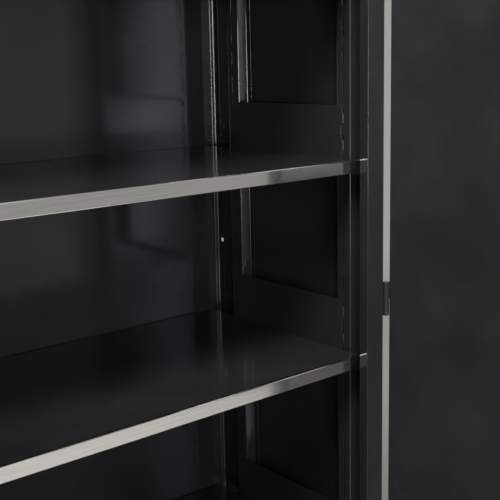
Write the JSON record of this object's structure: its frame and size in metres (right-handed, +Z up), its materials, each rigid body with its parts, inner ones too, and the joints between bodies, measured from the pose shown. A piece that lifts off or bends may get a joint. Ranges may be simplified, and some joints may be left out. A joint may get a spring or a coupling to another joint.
{
  "type": "steel storage cabinet",
  "caption": "Tall two-door steel storage cabinet with slotted uprights, hook-in shelf brackets, shelves with stainless front trims and a handle with locking rods.",
  "frame": {"origin": "on the floor, at the centre of the four anchor holes in the base", "axes": "+X to the cabinet's right as seen from the front, +Y to its back, +Z up"},
  "size_m": [1.3043, 0.9199, 1.95],
  "materials": {
    "coated_steel": "satin",
    "trim_stainless": "brushed",
    "zinc_steel": "satin",
    "handle_zinc": "satin",
    "guide_nylon": "matte",
    "buffer_rubber": "matte"
  },
  "bodies": {
    "carcass": {"side_panel_left": "coated_steel", "side_panel_right": "coated_steel", "back_panel": "coated_steel", "back_rivets": "zinc_steel", "top_panel": "coated_steel", "floor_panel": "coated_steel", "floor_channel": "coated_steel", "plinth_front": "coated_steel", "plinth_rear": "coated_steel", "upright_front_left": "coated_steel", "upright_front_right": "coated_steel", "upright_rear_left": "coated_steel", "upright_rear_right": "coated_steel", "shelf_1": "coated_steel", "shelf_trim_1": "trim_stainless", "shelf_channel_1": "coated_steel", "shelf_bracket_1_left": "coated_steel", "shelf_bracket_1_right": "coated_steel", "shelf_2": "coated_steel", "shelf_trim_2": "trim_stainless", "shelf_channel_2": "coated_steel", "shelf_bracket_2_left": "coated_steel", "shelf_bracket_2_right": "coated_steel", "shelf_3": "coated_steel", "shelf_trim_3": "trim_stainless", "shelf_channel_3": "coated_steel", "shelf_bracket_3_left": "coated_steel", "shelf_bracket_3_right": "coated_steel", "shelf_4": "coated_steel", "shelf_trim_4": "trim_stainless", "shelf_channel_4": "coated_steel", "shelf_bracket_4_left": "coated_steel", "shelf_bracket_4_right": "coated_steel", "hinge_leaves_left": "coated_steel", "hinge_leaves_right": "coated_steel", "door_buffers": "buffer_rubber"},
    "door_left": {"door_left_pan": "coated_steel", "door_left_channel": "coated_steel", "door_left_liner": "coated_steel", "door_left_astragal": "coated_steel", "door_leaves_left": "coated_steel"},
    "door_right": {"door_right_pan": "coated_steel", "door_right_channel": "coated_steel", "door_right_liner": "coated_steel", "door_leaves_right": "coated_steel", "lock_escutcheon": "handle_zinc", "lock_case": "zinc_steel", "rod_guides": "guide_nylon"},
    "handle": {"lock_handle": "handle_zinc", "lock_cam": "zinc_steel"},
    "rod_upper": {"lock_rod_upper": "zinc_steel"},
    "rod_lower": {"lock_rod_lower": "zinc_steel"}
  },
  "joints": [
    {"name": "door_left_hinge", "type": "hinge", "parent": "carcass", "child": "door_left", "pos_m": [-0.464, -0.224, 1.005], "axis": [0, 0, -1], "range_deg": [-110, 70]},
    {"name": "door_right_hinge", "type": "hinge", "parent": "carcass", "child": "door_right", "pos_m": [0.464, -0.224, 1.005], "axis": [0, 0, 1], "range_deg": [-110, 70]},
    {"name": "handle_turn", "type": "hinge", "parent": "door_right", "child": "handle", "pos_m": [0.63644, -0.60713, 1.05], "axis": [0.9397, 0.342, 0], "range_deg": [-90, 0]},
    {"name": "rod_upper_slide", "type": "slide", "parent": "door_right", "child": "rod_upper", "axis": [0, 0, -1], "range_m": [-0.02, 0]},
    {"name": "rod_lower_slide", "type": "slide", "parent": "door_right", "child": "rod_lower", "axis": [0, 0, 1], "range_m": [-0.02, 0]}
  ],
  "couplings": [
    {"joint": "rod_upper_slide", "follows": "handle_turn", "m_per_rad": 0.01273},
    {"joint": "rod_lower_slide", "follows": "handle_turn", "m_per_rad": 0.01273}
  ]
}
